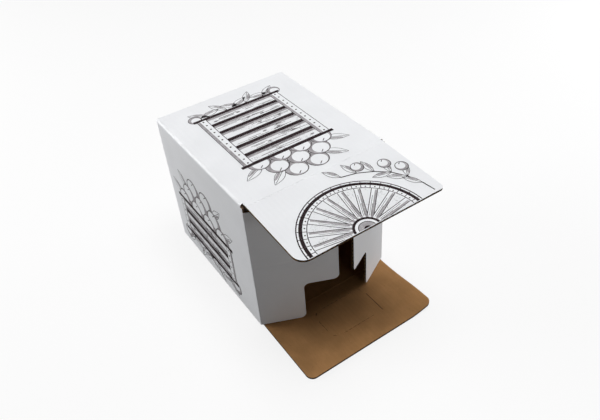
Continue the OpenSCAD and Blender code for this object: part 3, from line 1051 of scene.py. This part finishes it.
class CARTON_OT_bag(bpy.types.Operator):
    """Builds the empty film bag, folded in three, and finishes the gland and the tap."""

    bl_idname = "carton.bag"
    bl_label = "Film bag and tap"

    def execute(self, context):
        width, depth = BAG_HI.x, BAG_HI.y - BAG_LO.y
        r, rows, columns = 0.0035, 150, 56
        run, arc = depth - 2 * r, math.pi * r
        total = 3 * run + 2 * arc + r
        bag = sheet("bag_film", (-width, 0), (width, total), 0)
        edit(bag)
        cut_at(1, steps(0, total, rows))
        cut_at(0, steps(-width, width, columns))
        path = [v.co.y for v in bmesh.from_edit_mesh(bag.data).verts]
        for first, sign in ((r + run, 1), (r + 2 * run + arc, -1)):
            fold_sheet(path, first, arc, sign)
        done()
        place(bag, Matrix.Translation((0, BAG_LO.y + 0.0005, sizes().board + r)))
        film(bag, path, total)
        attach(bag, "carton")
        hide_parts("bag")
        for name, made in (("bag_gland", "tap_plastic"), ("tap_body", "tap_plastic"),
                           ("tap_plug", "lever_plastic"), ("tap_gasket", "seal_rubber")):
            finish(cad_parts[name], made)
        return {"FINISHED"}


def fold_sheet(path, first, arc, sign):
    """In edit mode, folds what lies beyond a place by half a turn, in small turns along an arc.

    The path says how far along the flat sheet each vertex was.
    """
    mesh = bpy.context.object.data
    turns = 8
    for i in range(turns):
        at = first + arc * (i + 0.5) / turns
        row = min(path, key=lambda along: abs(along - at))
        bpy.ops.mesh.select_mode(type="VERT")
        bpy.ops.mesh.select_all(action="DESELECT")
        bm = bmesh.from_edit_mesh(mesh)
        pivot = next(v.co.copy() for v, along in zip(bm.verts, path) if abs(along - row) < NEAR)
        for v, along in zip(bm.verts, path):
            v.select = along > row + NEAR
        bm.select_flush_mode()
        bmesh.update_edit_mesh(mesh)
        bpy.ops.transform.rotate(value=-sign * math.pi / turns, orient_axis="X",
                                 center_override=(0, pivot.y, pivot.z))


def film(bag, path, total):
    """Gives the folded bag its slack thickness, its flat welded seams and its crumples."""
    low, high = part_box("bag_gland")
    tap_y = (low.y + high.y) / 2
    thickness, seam, full, above_lower_layers = 0.0054, 0.006, 0.026, 0.016
    fill, crumple = bag.vertex_groups.new(name="fill"), bag.vertex_groups.new(name="crumple")
    for v, along in zip(bag.data.vertices, path):
        edge = min(BAG_HI.x - abs(v.co.x), along, total - along)
        fill.add([v.index], max(0.001, ramp(edge, seam, full)), "REPLACE")
        near_tap = math.hypot(v.co.x, v.co.y - tap_y)
        clear = ramp(near_tap, 0.021, 0.045) if v.co.z > above_lower_layers else 1.0
        crumple.add([v.index], clear * (0.35 + 0.65 * ramp(edge, 0.003, 0.014)), "REPLACE")
    finish(bag, "bag_film")
    modifier(bag, "SOLIDIFY", thickness=thickness, offset=0, vertex_group="fill",
             thickness_vertex_group=0.07)
    for kind, size, strength in (("CLOUDS", 0.04, 0.0026), ("MUSGRAVE", 0.03, 0.0011),
                                 ("DISTORTED_NOISE", 0.014, 0.0009)):
        texture = bpy.data.textures.new("crumple", kind)
        texture.noise_scale = size
        if kind == "MUSGRAVE":
            texture.musgrave_type = "RIDGED_MULTIFRACTAL"
        modifier(bag, "DISPLACE", texture=texture, strength=strength, mid_level=0.5, direction="NORMAL",
                 vertex_group="crumple")
    bag.vertex_groups.clear()
    smooth(bag, 70)


class CARTON_OT_stage(bpy.types.Operator):
    """Adds the floor, the lamps, the world and the camera."""

    bl_idname = "carton.stage"
    bl_label = "Floor, light and camera"

    def execute(self, context):
        scene = context.scene
        floor = sheet("floor", (-FLOOR_HALF, -FLOOR_HALF), (FLOOR_HALF, FLOOR_HALF), FLOOR_HEIGHT)
        tree, shader = material("floor_white")[:2]
        seen = node(tree, "LightPath").outputs["Is Camera Ray"]
        surface(tree, shader, mixed(tree, seen, *((tone, tone, tone, 1) for tone in FLOOR_TONES)), 0.9, 0.1)
        glow = node(tree, "Emission", {"Color": (1, 1, 1, 1), "Strength": 1.0})
        blend = node(tree, "MixShader", {0: times(tree, seen, FLOOR_GLOW), 1: shader.outputs[0],
                                         2: glow.outputs[0]})
        output = next(n for n in tree.nodes if n.type == "OUTPUT_MATERIAL")
        feed(tree, output, {0: blend.outputs[0]})
        finish(floor, "floor_white")

        world = bpy.data.worlds.new("studio")
        scene.world = world
        world.use_nodes = True
        tree = world.node_tree
        tree.nodes.clear()
        rays = node(tree, "LightPath").outputs
        seen = maths(tree, "ADD", maths(tree, "ADD", rays["Is Camera Ray"], rays["Is Glossy Ray"]),
                     rays["Is Transmission Ray"], clamp=True)
        strength = spread(tree, seen, 0, 1, *WORLD_LIGHT)
        back = node(tree, "Background", {"Color": (1, 1, 1, 1), "Strength": strength})
        node(tree, "OutputWorld", {0: back.outputs[0]})

        for name, where, size, power in LAMPS:
            select_none()
            bpy.ops.object.light_add(type="AREA", location=where)
            lamp = bpy.context.object
            lamp.name = lamp.data.name = name
            lamp.data.size = size
            lamp.data.energy = power
            aim = Vector(AIM) - Vector(where)
            lamp.rotation_euler = aim.to_track_quat("-Z", "Y").to_euler()

        camera = bpy.data.objects.new("camera", bpy.data.cameras.new("camera"))
        scene.collection.objects.link(camera)
        camera.matrix_world = Matrix.Translation(CAMERA_AT) @ Matrix(CAMERA_AXES).transposed().to_4x4()
        camera.data.sensor_width = SENSOR
        camera.data.lens = LENS
        camera.data.clip_start = 0.01
        scene.camera = camera
        scene.view_settings.view_transform = "Standard"
        return {"FINISHED"}


class CARTON_PT_panel(bpy.types.Panel):
    """Lists the steps that build the carton."""

    bl_idname = "CARTON_PT_panel"
    bl_label = "Bag-in-box carton"
    bl_space_type = "VIEW_3D"
    bl_region_type = "UI"
    bl_category = "Carton"

    def draw(self, context):
        for step in STEPS:
            self.layout.operator(step.bl_idname)


STEPS = (CARTON_OT_finishes, CARTON_OT_shell, CARTON_OT_outer_flaps, CARTON_OT_side_flaps,
         CARTON_OT_print, CARTON_OT_bag, CARTON_OT_stage)
CLASSES = (CartonSizes, CartonColours, *STEPS, CARTON_PT_panel)


def register():
    for made in CLASSES:
        bpy.utils.register_class(made)
    bpy.types.Scene.carton_sizes = bpy.props.PointerProperty(type=CartonSizes)
    bpy.types.Scene.carton_colours = bpy.props.PointerProperty(type=CartonColours)


def unregister():
    del bpy.types.Scene.carton_colours
    del bpy.types.Scene.carton_sizes
    for made in reversed(CLASSES):
        bpy.utils.unregister_class(made)


def main():
    register()
    select_none()
    for step in STEPS:
        group, name = step.bl_idname.split(".")
        getattr(getattr(bpy.ops, group), name)()


if __name__ == "__main__":
    main()
